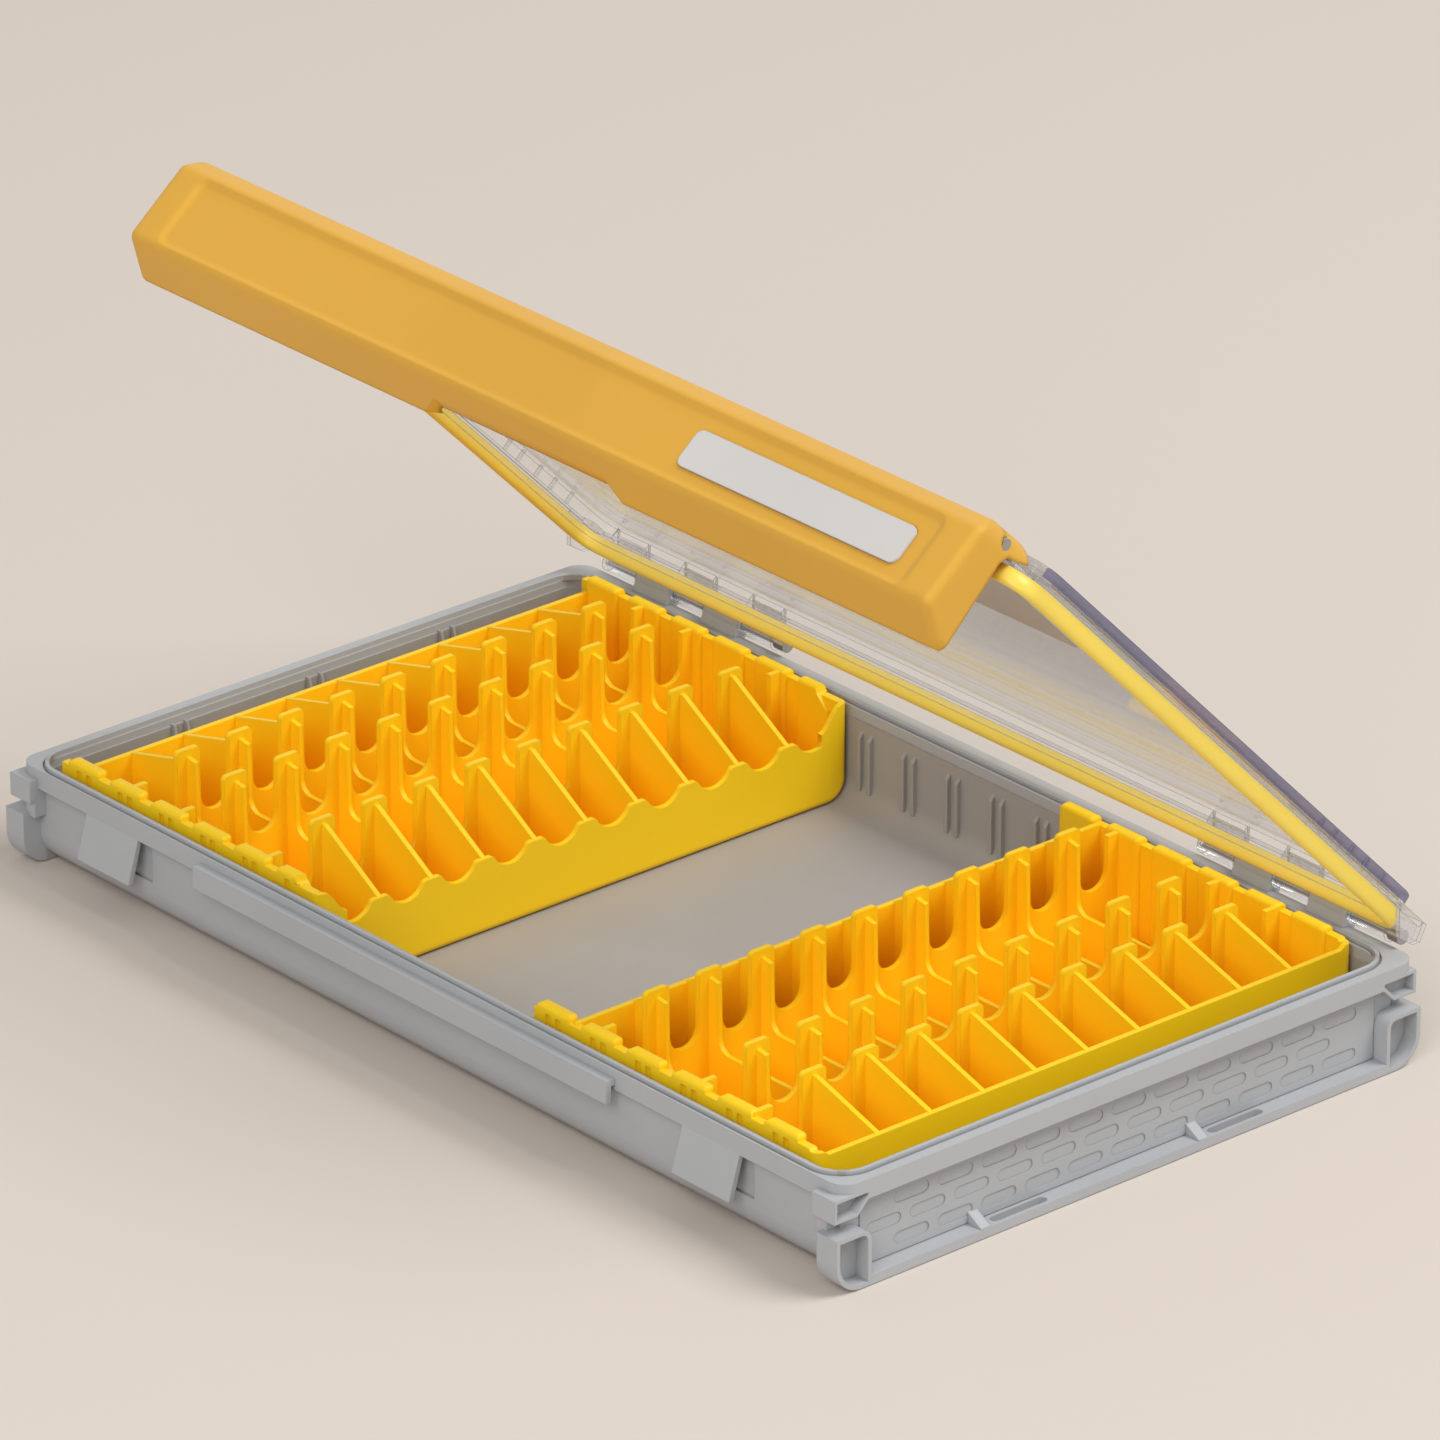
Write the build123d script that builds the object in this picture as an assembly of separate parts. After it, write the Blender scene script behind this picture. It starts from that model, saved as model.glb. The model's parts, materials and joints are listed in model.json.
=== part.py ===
from build123d import *
import os

# Jerkbait box: shallow tub, two lure racks, clear hinged lid and a full-width latch.
# Millimetres. +X runs along the hinge, -Y is the latch side, +Z is up.
# The origin is the middle of the underside. The lid stands open as in use.

# Tub
tub_length = 348.0
tub_depth = 203.0
tub_height = 31.0
tub_wall = 2.0
floor_thickness = 2.0
tub_edge_radius = 9.5
cavity_corner_radius = 4.0
tub_x = tub_length / 2
tub_y = tub_depth / 2
cavity_x = tub_x - tub_wall
cavity_y = tub_y - tub_wall

# Rim with its skirt, sealing tongue and the grooves on both sides of it
rim_overhang_end = 4.0
rim_overhang_front = 2.7
rim_overhang_rear = 6.3
rim_thickness = 3.0
rim_skirt_height = 6.0
rim_skirt_wall = 1.3
rim_corner_radius = 6.0
mouth_step = 0.5
tongue_overhang_end = 0.2
tongue_overhang_side = 1.3
tongue_width = 1.2
tongue_height = 1.0
tongue_corner_radius = 10.8
groove_width = 0.6
groove_depth = 0.6
rim_x = tub_x + rim_overhang_end
rim_bottom = tub_height - rim_thickness
skirt_bottom = tub_height - rim_skirt_height

# Corner blocks
block_shell = 1.4
upper_block_shell = 1.0
upper_block_height = 7.0
upper_block_inner_x = tub_x - 5.2
upper_block_inner_y = tub_y - 7.4
upper_block_outer_y = tub_y + 5.6
upper_pocket_slant = 2.4
lower_block_height = 17.0
lower_block_inner_x = tub_x - 2.5
lower_block_inner_y = tub_y - 6.5
lower_block_outer_y = tub_y + 6.2
lower_block_radius = 9.0
lower_block_shoulder = 3.5
web_outer_x = tub_x - 1.0
web_outer_y = tub_y + 4.0

# Foot flanges at the two ends, with strap slots
foot_projection = 5.5
foot_thickness = 3.0
slot_length = 20.0
slot_width = 3.0
slot_spacing = 80.0
slot_edge = 1.2
foot_gusset_width = 3.4
foot_gusset_height = 4.0
foot_gusset_gap = 2.5
foot_x = tub_x + foot_projection

# Catch lip and guide pads on the front wall
catch_left_x = -tub_x + 80.0
catch_right_x = tub_x - 88.8
catch_projection = 5.9
catch_top = rim_bottom + 0.5
catch_height = 6.9
catch_wall = 1.8
pad_width = 23.6
pad_left_x = -tub_x + 39.4
pad_right_x = tub_x - 49.4
pad_top_projection = rim_overhang_front
pad_bottom_projection = 6.6
pad_bottom = 12.0
pad_wall = 1.5
pad_pocket_depth = 0.8
pad_pocket_reach = 2.8
catch_bottom = catch_top - catch_height
catch_front_y = -tub_y - catch_projection

# Locating ribs on the long walls and gussets on the end walls
rib_pitch = 18.82
rib_end_gap = 17.5
rib_pair_gap = 4.2
rib_width = 1.5
rib_projection = 1.3
rib_foot_z = 6.5
rib_top_z = skirt_bottom
rib_point = 1.8
gusset_pitch = 50.0
gusset_pair_gap = 4.6
gusset_width = 1.0
gusset_foot = 7.0
gusset_head = 1.0
gusset_top = rim_bottom + 0.5
rib_count = int((2 * cavity_x - 2 * rib_end_gap) / rib_pitch) + 1

# Racks
rack_gap = 0.9
rack_edge_gap = 0.5
rack_floor = 1.5
rack_wall = 1.8
divider_wall = 1.6
end_plate_wall = 2.6
end_plate_top = tub_height + 2.5
tab_length = 13.5
tab_top = end_plate_top + 1.9
tab_thickness = 4.0
tab_radius = 1.3
tab_slot_width = rib_width + 0.7
tab_slot_depth = 0.8
tab_slot_top = end_plate_top - 0.5
post_pitch = 19.0
post_top = tub_height + 9.9
cradle_width = 10.6
cradle_bottom = 19.5
post_rib_length = 3.6
post_rib_drop = 2.2
ridge_height = 17.2
ridge_radius = 4.0
comb_end_top = tab_top - 0.5
post_tip_radius = 1.4
fin_drop = 1.6
rack_y = cavity_y - rack_gap
post_count = int(2 * (rack_y - end_plate_wall) / post_pitch) - 1

# Places along X in the left rack, from its outer end
left_rack_start = -cavity_x + gusset_foot + 0.5
left_back_x = left_rack_start + 3.5
left_combs = [left_rack_start + 28.9, left_rack_start + 50.5, left_rack_start + 89.7]
left_front_x = left_rack_start + 115.0
left_back_top = 30.7
left_back_rise = 6.5
left_front_top = 25.4
scallop_depth = 4.4
scallop_radius = 7.0
left_corner_radius = 1.6
left_rack_corner = 2.5

# Places along X in the right rack, from its outer end
right_front_x = cavity_x - gusset_foot - 4.5
right_back_x = right_front_x - 99.9
right_combs = [right_front_x - 91.1, right_front_x - 49.5, right_front_x - 26.7]
right_rack_start = right_back_x - 16.1
right_back_top = 34.0
right_front_top = 31.6
right_rack_corner = 2.5

# Hinge between tub and lid
hinge_y = tub_y + 7.8
hinge_z = tub_height + 3.2
knuckle_radius = 2.9
hinge_pin_radius = 1.25
running_clearance = 0.07
seat_clearance = 0.02
knuckle_gap = 0.3
knuckle_length = 14.9
knuckles_per_hinge = 5
hinge_starts = [-tub_x + 6.6, tub_x - 84.0]
pin_head_radius = 2.2
pin_head_length = 4.2
base_arm_inner_y = hinge_y - 4.0

# Lid, described closed
flange_bottom = tub_height + 7.2
flange_thickness = 1.6
flange_half_length = tub_x + 2.5
flange_front_y = -tub_y - 3.4
flange_rear_y = tub_y + 3.9
flange_corner_radius = 13.0
flange_top = flange_bottom + flange_thickness
lid_top = flange_bottom + 6.3
lid_wall = 1.8
lid_half_length = tub_x - 2.0
lid_front_y = -tub_y + 4.5
lid_rear_y = tub_y + 3.7
lid_corner_radius = 8.0
seal_gap = 0.3
seal_width = 3.8
seal_half_length = tub_x + 1.2
seal_half_depth = tub_y + 3.1
seal_corner_radius = 12.0
seal_lip_width = 1.4
seal_lip_drop = 2.2
ear_thickness = 1.5
ear_height_gap = 0.6
lid_rib_width = 1.2
lid_rib_projection = 0.6
lid_rib_distances = [53.2, 46.2, 36.7, 28.7, 19.7]
lid_gusset_width = 1.0
lid_open_angle = 45.4

# Moisture plate under the lid
moisture_plate_length = 46.0
moisture_plate_depth = 38.0
moisture_plate_thickness = 1.2
moisture_plate_x = lid_half_length - 60.0
moisture_plate_y = lid_front_y + 51.0
moisture_plate_radius = 2.5

# Latch, described hanging from the closed lid. Its section is set out from the pins.
pin_y = flange_front_y - 4.6
pin_z = flange_top + 2.0
latch_pin_radius = 1.6
latch_half_length = tub_x - 5.7
latch_wall = 2.2
latch_cap_wall = 3.0
latch_ajar_angle = 6.0
latch_top = pin_z + 4.1
latch_rear_y = pin_y + 9.6
latch_shoulder_y = pin_y - 6.5
latch_shoulder_drop = 0.8
latch_brow_y = pin_y - 12.0
latch_brow_z = pin_z - 1.3
latch_crease_y = pin_y - 14.2
latch_crease_z = pin_z - 26.5
latch_toe_y = pin_y - 0.9
latch_toe_z = pin_z - 33.9
latch_cheek_y = pin_y + 1.4
latch_round = 3.0
latch_end_round = 2.4
latch_top_corner = 7.0
latch_toe_corner = 3.5
panel_end_gap = 13.0
panel_recess = 0.9
panel_margin = 2.8
panel_corner_radius = 2.0
panel_slope = 66.0
notch_half_length = 36.0
notch_ramp = 7.5
notch_depth = 6.0
hook_half_length = 60.0
hook_overlap = 1.7
hook_thickness = 2.0
hook_gap = 0.3
lug_length = 7.0
lug_radius = 2.5
lug_end_gap = 0.5
lug_relief = 0.3
cap_notch_gap = 0.5

# Label plate on the latch
label_length = 88.0
label_height = 12.0
label_thickness = 1.0
label_sink = 0.4
label_gap = 0.2
label_radius = 2.5
label_x = latch_half_length - 62.3
label_z = pin_z - 14.3

hinge_axis = Axis((0, hinge_y, hinge_z), (1, 0, 0))
pin_axis = Axis((0, pin_y, pin_z), (1, 0, 0))


def block(x0, x1, y0, y1, z0, z1):
    """Box between two corners, given in any order."""
    centre = Pos((x0 + x1) / 2, (y0 + y1) / 2, (z0 + z1) / 2)
    return centre * Box(abs(x1 - x0), abs(y1 - y0), abs(z1 - z0))


def along_x(outline, x0, x1):
    """Sketch drawn in (y, z), swept from x0 to x1."""
    return extrude(Plane.YZ.offset(min(x0, x1)) * outline, abs(x1 - x0), dir=(1, 0, 0))


def along_y(outline, y0, y1):
    """Sketch drawn in (x, z), swept from y0 to y1."""
    start = Plane(origin=(0, max(y0, y1), 0), x_dir=(1, 0, 0), z_dir=(0, -1, 0))
    return extrude(start * outline, abs(y1 - y0), dir=(0, -1, 0))


def shape(*points):
    """Closed outline through the given points."""
    return Polygon(*points, align=None)


def rod(radius, x0, x1, y, z):
    """Round bar along X."""
    return along_x(Pos(y, z) * Circle(radius), x0, x1)


def ring(half_x, y0, y1, width, corner, z0, z1):
    """Band of even width round a rounded rectangle."""
    outer = RectangleRounded(2 * half_x, y1 - y0, corner)
    inner = RectangleRounded(2 * (half_x - width), y1 - y0 - 2 * width, corner - width)
    return Pos(0, (y0 + y1) / 2, z0) * extrude(outer - inner, z1 - z0)


def trough(half_depth, bottom, top, radius):
    """Upright section of the tub: a rectangle with rounded lower corners."""
    section = Pos(0, (top + bottom) / 2) * Rectangle(2 * half_depth, top - bottom)
    return fillet(section.vertices().group_by(Axis.Y)[0], radius)


def post_places():
    """Y of each post in a comb."""
    return [(k - (post_count - 1) / 2) * post_pitch for k in range(post_count)]


def cradle_places():
    """Y of each U between two posts, and outside the first and last post."""
    return [(k - post_count / 2) * post_pitch for k in range(post_count + 1)]


def rib_places():
    """X of each pair of locating ribs."""
    return [-cavity_x + rib_end_gap + k * rib_pitch for k in range(rib_count)]


def knuckle_spans(start, first):
    """Every second knuckle of one hinge, from the first index on."""
    pitch = knuckle_length + knuckle_gap
    count = range(first, knuckles_per_hinge, 2)
    return [(start + k * pitch, start + k * pitch + knuckle_length) for k in count]


def upper_block_outline(end):
    """Section of an upper block, with a slanted inner lower corner."""
    top, bottom = rim_bottom, rim_bottom - upper_block_height
    slant = upper_pocket_slant
    return shape((end * upper_block_outer_y, bottom), (end * upper_block_outer_y, top),
                 (end * upper_block_inner_y, top), (end * upper_block_inner_y, bottom + 2 * slant),
                 (end * (upper_block_inner_y + 2 * slant), bottom))


def upper_pocket(side, end):
    """Pocket in the end of an upper block, which also opens the skirt of the rim."""
    hollow = offset(upper_block_outline(end), -upper_block_shell, kind=Kind.INTERSECTION)
    return along_x(hollow, side * (tub_x + block_shell / 2), side * (rim_x + 1))


def lower_block(side, end):
    """Hollow block beside the foot, rounded outside below and inside above."""
    middle = (lower_block_inner_y + lower_block_outer_y) / 2
    width = lower_block_outer_y - lower_block_inner_y
    outline = Pos(end * middle, lower_block_height / 2) * Rectangle(width, lower_block_height)
    low_corner = outline.vertices().sort_by(lambda v: end * v.X - v.Y)[-1]
    outline = fillet(low_corner, lower_block_radius)
    shoulder = outline.vertices().sort_by(lambda v: v.Y - end * v.X)[-1]
    outline = fillet(shoulder, lower_block_shoulder)
    hollow = offset(outline, -block_shell)
    body = along_x(outline, side * lower_block_inner_x, side * foot_x)
    return body - along_x(hollow, side * (tub_x + block_shell / 2), side * (foot_x + 1))


def corner_block(side, end):
    """One corner of the tub: a block under the rim, a hollow one below and the web between."""
    upper = along_x(upper_block_outline(end), side * upper_block_inner_x, side * rim_x)
    web = block(side * upper_block_inner_x, side * web_outer_x, end * (tub_y - tub_wall), end * web_outer_y,
                lower_block_height - 1, rim_bottom - upper_block_height + 1)
    return upper + lower_block(side, end) + web


def foot(side):
    """Foot flange under one end wall, with two strap slots and their gussets."""
    slot_x = foot_x - slot_edge - slot_width / 2
    inner_x = tub_x - 1
    plate = block(side * inner_x, side * foot_x, -lower_block_inner_y - 1, lower_block_inner_y + 1,
                  0, foot_thickness)
    for end in (-1, 1):
        slot_y = end * slot_spacing / 2
        cut = extrude(SlotOverall(slot_length, slot_width, rotation=90), foot_thickness)
        plate -= Pos(side * slot_x, slot_y, 0) * cut
        gusset = shape((side * inner_x, foot_thickness - 1), (side * foot_x, foot_thickness - 1),
                       (side * foot_x, foot_thickness + 0.3),
                       (side * inner_x, foot_thickness + foot_gusset_height))
        stop = slot_y - slot_length / 2 - foot_gusset_gap
        plate += along_y(gusset, stop - foot_gusset_width, stop)
    return plate


def catch_lip():
    """Hooked lip that the latch closes under."""
    lip = shape((-tub_y + 0.5, catch_top - catch_wall), (-tub_y + 0.5, catch_top),
                (catch_front_y, catch_top), (catch_front_y, catch_bottom),
                (catch_front_y + catch_wall, catch_bottom),
                (catch_front_y + catch_wall, catch_top - catch_wall))
    return along_x(lip, catch_left_x, catch_right_x)


def guide_pad(x):
    """Sloping plate that guides the latch, open underneath and on its right."""
    inner = -tub_y + 0.5
    top = skirt_bottom + 1
    top_y = -tub_y - pad_top_projection
    bottom_y = -tub_y - pad_bottom_projection
    start, stop = x - pad_width / 2, x + pad_width / 2
    wedge = shape((inner, top), (top_y, top), (top_y, skirt_bottom), (bottom_y, pad_bottom),
                  (inner, pad_bottom))
    hollow = shape((-tub_y, top - 0.5), (top_y + pad_wall, top - 0.5), (top_y + pad_wall, skirt_bottom),
                   (bottom_y + pad_wall, pad_bottom - 1), (-tub_y, pad_bottom - 1))
    return along_x(wedge, start, stop) - along_x(hollow, start + pad_wall, stop + 1)


def pad_pocket(x):
    """Shallow pocket in the front wall behind a guide pad."""
    start, stop = x - pad_width / 2 + pad_wall, x + pad_width / 2 + pad_pocket_reach
    return block(start, stop, -tub_y - 1, -tub_y + pad_pocket_depth, pad_bottom, rim_bottom - 1)


def wall_ribs():
    """Pairs of upright ribs with pointed tops that the racks slide over."""
    ribs = []
    for end in (-1, 1):
        outline = shape((end * (cavity_y + 0.5), rib_foot_z), (end * (cavity_y - rib_projection), rib_foot_z),
                        (end * (cavity_y - rib_projection), rib_top_z - rib_point),
                        (end * (cavity_y + 0.5), rib_top_z + 0.5))
        for x in rib_places():
            for shift in (-rib_pair_gap / 2, rib_pair_gap / 2):
                ribs.append(along_x(outline, x + shift - rib_width / 2, x + shift + rib_width / 2))
    return ribs


def end_gussets():
    """Tapered gusset pairs on the inside of both end walls."""
    gussets = []
    for side in (-1, 1):
        outline = shape((side * (cavity_x + 0.5), floor_thickness - 0.5),
                        (side * (cavity_x + 0.5), gusset_top),
                        (side * (cavity_x - gusset_head), gusset_top),
                        (side * (cavity_x - gusset_foot), floor_thickness + 1),
                        (side * (cavity_x - gusset_foot), floor_thickness - 0.5))
        for k in (-1, 0, 1):
            for shift in (-gusset_pair_gap / 2, gusset_pair_gap / 2):
                y = k * gusset_pitch + shift
                gussets.append(along_y(outline, y - gusset_width / 2, y + gusset_width / 2))
    return gussets


def base_arm(x0, x1):
    """Hinge knuckle of the tub, standing on the rear rim."""
    arm = shape((base_arm_inner_y, rim_bottom), (hinge_y - 0.8, rim_bottom),
                (hinge_y + knuckle_radius, hinge_z - 1.0),
                (hinge_y + knuckle_radius, hinge_z),
                (hinge_y - knuckle_radius, hinge_z),
                (base_arm_inner_y, tub_height + 0.5))
    knuckle = along_x(arm, x0, x1) + rod(knuckle_radius, x0, x1, hinge_y, hinge_z)
    return knuckle - rod(hinge_pin_radius + seat_clearance, x0 - 1, x1 + 1, hinge_y, hinge_z)


def rim():
    """Flange round the mouth of the tub, with a skirt that hangs from its edge."""
    front, rear = -tub_y - rim_overhang_front, tub_y + rim_overhang_rear
    body = block(-rim_x, rim_x, front, rear, skirt_bottom, tub_height)
    body = fillet(body.edges().filter_by(Axis.Z), rim_corner_radius)
    wall = rim_skirt_wall
    under = block(-rim_x + wall, rim_x - wall, front + wall, rear - wall, skirt_bottom - 1, rim_bottom)
    return body - fillet(under.edges().filter_by(Axis.Z), rim_corner_radius - wall)


def tongue(grow, bottom, top):
    """Ring that the lid's seal presses on, or the groove round it."""
    half_x = tub_x + tongue_overhang_end + grow
    half_y = tub_y + tongue_overhang_side + grow
    return ring(half_x, -half_y, half_y, tongue_width + 2 * grow, tongue_corner_radius + grow, bottom, top)


def base_tub():
    """Moulded tub with everything that is part of it."""
    top = tub_height
    tub = along_x(trough(tub_y, 0, top, tub_edge_radius), -tub_x, tub_x) + rim()
    for side in (-1, 1):
        tub += foot(side)
        for end in (-1, 1):
            tub += corner_block(side, end)
            tub -= upper_pocket(side, end)
    for x in (pad_left_x, pad_right_x):
        tub += guide_pad(x)
        tub -= pad_pocket(x)
    tub += catch_lip()
    cavity = trough(cavity_y, floor_thickness, top + 1, tub_edge_radius - tub_wall)
    cavity = along_x(cavity, -cavity_x, cavity_x)
    tub -= fillet(cavity.edges().filter_by(Axis.Z), cavity_corner_radius)
    mouth = RectangleRounded(2 * (cavity_x + mouth_step), 2 * (cavity_y + mouth_step),
                             cavity_corner_radius + mouth_step)
    tub -= Pos(0, 0, rim_bottom) * extrude(mouth, rim_thickness + 1)
    tub -= tongue(groove_width, top - groove_depth, top + 1)
    tub += tongue(0, top - groove_depth - 0.3, top + tongue_height)
    tub += wall_ribs() + end_gussets()
    for start in hinge_starts:
        for x0, x1 in knuckle_spans(start, 1):
            tub += base_arm(x0, x1)
    return tub


def comb_outline():
    """Comb of posts with U-shaped cradles between them."""
    half = rack_y - end_plate_wall / 2
    height = post_top - floor_thickness
    plate = Pos(0, floor_thickness + height / 2) * Rectangle(2 * half, height)
    radius = cradle_width / 2
    centre = cradle_bottom + radius
    for y in cradle_places():
        plate -= Pos(y, centre) * Circle(radius)
        plate -= Pos(y, (centre + post_top) / 2) * Rectangle(cradle_width, post_top - centre)
    outer = cradle_places()[-1]
    for end in (-1, 1):
        plate -= Pos(end * (outer + half) / 2, (comb_end_top + post_top) / 2) * Rectangle(
            half - outer, post_top - comb_end_top)
    tips = [v for v in plate.vertices() if v.Y > post_top - 0.1]
    return fillet(tips, post_tip_radius)


def ridge_outline(x0, x1):
    """Post rib, hollowed foot and low ridge that run from one comb to the next."""
    rib_x = x0 + rack_wall / 2 + post_rib_length
    outline = shape((x0, floor_thickness), (x1, floor_thickness), (x1, ridge_height + 3),
                    (x1 - rack_wall / 2 - 3, ridge_height), (rib_x + 0.6, ridge_height),
                    (rib_x, post_top - post_rib_drop - 0.8), (x0, post_top - post_rib_drop))
    inside = [v for v in outline.vertices()
              if abs(v.X - rib_x - 0.6) < 0.01 and abs(v.Y - ridge_height) < 0.01]
    return fillet(inside, ridge_radius)


def fin_outline(x0, x1, top):
    """Fin that falls straight from a post to the front wall."""
    return shape((x0, floor_thickness), (x1, floor_thickness), (x1, top),
                 (x0 + rack_wall / 2 + 1.0, post_top - fin_drop), (x0, post_top - fin_drop))


def dividers(outline):
    """The same divider behind each post."""
    return [along_y(outline, y - divider_wall / 2, y + divider_wall / 2) for y in post_places()]


def end_plates(x0, x1):
    """Front and rear plates of a rack with their notched tabs."""
    plates = []
    tabs = [x for x in rib_places() if x0 + tab_length / 2 < x < x1 - tab_length / 2 + 1.5]
    for end in (-1, 1):
        plate = block(x0, x1, end * (rack_y - end_plate_wall), end * rack_y,
                      floor_thickness, end_plate_top)
        for x in tabs:
            tab = block(x - tab_length / 2, x + tab_length / 2, end * (rack_y - tab_thickness),
                        end * rack_y, floor_thickness, tab_top)
            inner = tab.edges().filter_by(Axis.Z).sort_by(lambda e: end * e.center().Y)[:2]
            upper = tab.edges().group_by(Axis.Z)[-1]
            plate += fillet(inner + upper, tab_radius)
        for x in tabs:
            for shift in (-rib_pair_gap / 2, rib_pair_gap / 2):
                plate -= block(x + shift - tab_slot_width / 2, x + shift + tab_slot_width / 2,
                               end * (rack_y - tab_slot_depth), end * (rack_y + 1),
                               floor_thickness - 1, tab_slot_top)
        plates.append(plate)
    return plates


def seat_in_tub(rack, x0, x1, corner):
    """Trim a rack to the rounded trough of the tub and round its front corners."""
    radius = tub_edge_radius - tub_wall - rack_gap + rack_edge_gap
    room = along_x(trough(rack_y, floor_thickness, tab_top + post_top, radius), x0, x1)
    front = room.edges().filter_by(Axis.Z).group_by(Axis.X)[-1]
    return rack & fillet(front, corner)


def left_rack():
    """Rack with a scalloped front wall, on the left."""
    back, front = left_back_x, left_front_x
    start, end = left_rack_start, front + rack_wall / 2
    half = rack_y - end_plate_wall / 2
    rack = block(back, front, -half, half, floor_thickness, floor_thickness + rack_floor)
    rack += end_plates(start, end)
    rack += block(back - rack_wall / 2, back + rack_wall / 2, -half, half, floor_thickness, left_back_top)
    for x in left_combs:
        rack += along_x(comb_outline(), x - rack_wall / 2, x + rack_wall / 2)
    first, second, third = left_combs
    rise = shape((back, floor_thickness), (first, floor_thickness),
                 (first, left_back_top + left_back_rise), (back, left_back_top))
    rack += dividers(rise) + dividers(ridge_outline(first, second))
    rack += dividers(ridge_outline(second, third)) + dividers(fin_outline(third, front, left_front_top))
    wall = Pos(0, (floor_thickness + left_front_top) / 2) * Rectangle(
        2 * half, left_front_top - floor_thickness)
    for y in cradle_places():
        wall -= Pos(y, left_front_top - scallop_depth + scallop_radius) * Circle(scallop_radius)
    crests = [v for v in wall.vertices() if v.Y > left_front_top - 0.1 and abs(v.X) < half - 0.1]
    wall = fillet(crests, left_corner_radius)
    rack += along_x(wall, front - rack_wall / 2, front + rack_wall / 2)
    rack -= end_corner_cuts(end, left_front_top)
    return seat_in_tub(rack, start, end, left_rack_corner)


def end_corner_cuts(x, low):
    """Sloping cuts that bring the end plates down to the front wall."""
    run = end_plate_top - low + 1.5
    cut = shape((x - run - 1, tab_top + 1), (x - run, end_plate_top), (x - 2.5, low + 1), (x + 1, low + 1),
                (x + 1, tab_top + 1))
    return [along_y(cut, end * (rack_y - tab_thickness - 1), end * (rack_y + 1)) for end in (-1, 1)]


def right_rack():
    """Rack with a straight front wall, on the right."""
    back, front = right_back_x, right_front_x
    start, end = right_rack_start, front + rack_wall / 2
    half = rack_y - end_plate_wall / 2
    rack = block(back, front, -half, half, floor_thickness, floor_thickness + rack_floor)
    rack += end_plates(start, end)
    rack += block(back - rack_wall / 2, back + rack_wall / 2, -half, half, floor_thickness, right_back_top)
    for x in right_combs:
        rack += along_x(comb_outline(), x - rack_wall / 2, x + rack_wall / 2)
    first, second, third = right_combs
    rise = shape((back, floor_thickness), (first, floor_thickness),
                 (first, post_top - post_rib_drop), (back, right_back_top))
    rack += dividers(rise) + dividers(ridge_outline(first, second))
    rack += dividers(ridge_outline(second, third)) + dividers(fin_outline(third, front, right_front_top))
    rack += block(front - rack_wall / 2, front + rack_wall / 2, -half, half,
                  floor_thickness, right_front_top)
    rack -= end_corner_cuts(end, right_front_top)
    return seat_in_tub(rack, start, end, right_rack_corner)


def hinge_pin(start):
    """Headed pin of one hinge."""
    spans = knuckle_spans(start, 0)
    head = spans[-1][1] + knuckle_gap
    shaft = rod(hinge_pin_radius, spans[0][0] + 0.5, head + 0.1, hinge_y, hinge_z)
    return shaft + rod(pin_head_radius, head, head + pin_head_length, hinge_y, hinge_z)


def lid_arm(x0, x1):
    """Hinge knuckle of the lid."""
    arm = shape((lid_rear_y - 0.6, flange_bottom), (lid_rear_y - 0.6, lid_top - 2.4),
                (hinge_y + knuckle_radius * 0.7, hinge_z + knuckle_radius * 0.7),
                (hinge_y - knuckle_radius * 0.95, hinge_z - 0.9))
    knuckle = along_x(arm, x0, x1) + rod(knuckle_radius, x0, x1, hinge_y, hinge_z)
    return knuckle - rod(hinge_pin_radius + running_clearance, x0 - 1, x1 + 1, hinge_y, hinge_z)


def latch_lug(side):
    """Ear on the front of the lid that carries the end of the latch."""
    outer = latch_half_length - latch_cap_wall - lug_end_gap
    inner = outer - lug_length
    arm = shape((flange_front_y + 2.5, flange_bottom), (flange_front_y + 4, flange_top + 0.2),
                (pin_y + lug_radius * 0.9, pin_z + 0.5), (pin_y - lug_radius * 0.9, pin_z - 0.5),
                (flange_front_y - 1.0, flange_bottom))
    lug = along_x(arm, side * inner, side * outer)
    lug += rod(lug_radius, side * inner, side * outer, pin_y, pin_z)
    return lug - rod(latch_pin_radius + seat_clearance, side * (inner - 1), side * (outer + 1), pin_y, pin_z)


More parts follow.
